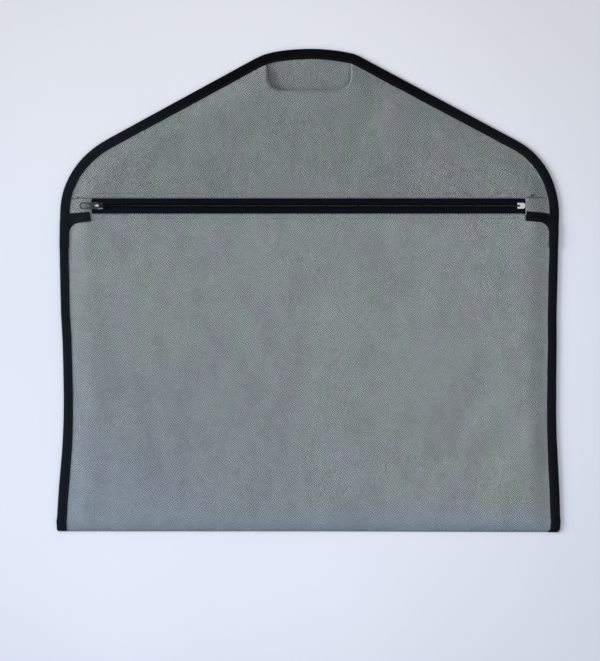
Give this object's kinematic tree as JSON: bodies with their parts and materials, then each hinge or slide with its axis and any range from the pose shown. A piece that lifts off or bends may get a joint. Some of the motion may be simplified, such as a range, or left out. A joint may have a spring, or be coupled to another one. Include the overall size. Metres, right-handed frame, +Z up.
{
  "type": "garment bag",
  "caption": "Short flat garment bag of grey canvas with black bound edges, a coil zip below the shoulders and a cut-out at the crown for a hanger's hook.",
  "frame": {"origin": "centre of the footprint, on the surface that the bag lies on, back down", "axes": "+X across the bag to the zip's open end, +Y from the bottom fold to the hanger end, +Z up out of the front face"},
  "size_m": [0.6136, 0.5885, 0.0126],
  "materials": {
    "canvas": "two-tone woven polyester canvas",
    "binding": "black woven binding tape",
    "zip_tape": "black woven zip tape",
    "zip_coil": "black nylon",
    "zip_metal": "nickel plated",
    "pull_metal": "dark nickel plated",
    "dark_thread": "black sewing thread",
    "grey_thread": "grey sewing thread"
  },
  "bodies": {
    "bag": {"back_panel": "canvas", "back_panel_edge": "canvas", "front_panel": "canvas", "yoke_panel": "canvas", "yoke_edge_left": "canvas", "yoke_edge_right": "canvas", "hook_opening_facing": "canvas", "shoulder_binding": "binding", "side_binding_left": "binding", "side_binding_right": "binding", "zip_tape_upper": "zip_tape", "zip_tape_lower": "zip_tape", "zip_coil_upper": "zip_coil", "zip_coil_lower": "zip_coil", "zip_top_stop_upper": "zip_metal", "zip_top_stop_lower": "zip_metal", "zip_bottom_stop": "zip_metal", "thread_shoulder_binding": "dark_thread", "thread_side_left": "dark_thread", "thread_side_right": "dark_thread", "thread_zip_upper": "grey_thread", "thread_zip_lower": "grey_thread", "thread_hook_opening": "grey_thread"},
    "slider": {"slider_body": "pull_metal"},
    "pull": {"pull_tab": "pull_metal"}
  },
  "joints": [
    {"name": "slider_slide", "type": "slide", "parent": "bag", "child": "slider", "axis": [1, 0, 0], "range_m": [0, 0.5036]},
    {"name": "pull_flip", "type": "hinge", "parent": "slider", "child": "pull", "pos_m": [-0.25601, 0.10234, 0.0106], "axis": [0, 1, 0], "range_deg": [0, 170]}
  ]
}
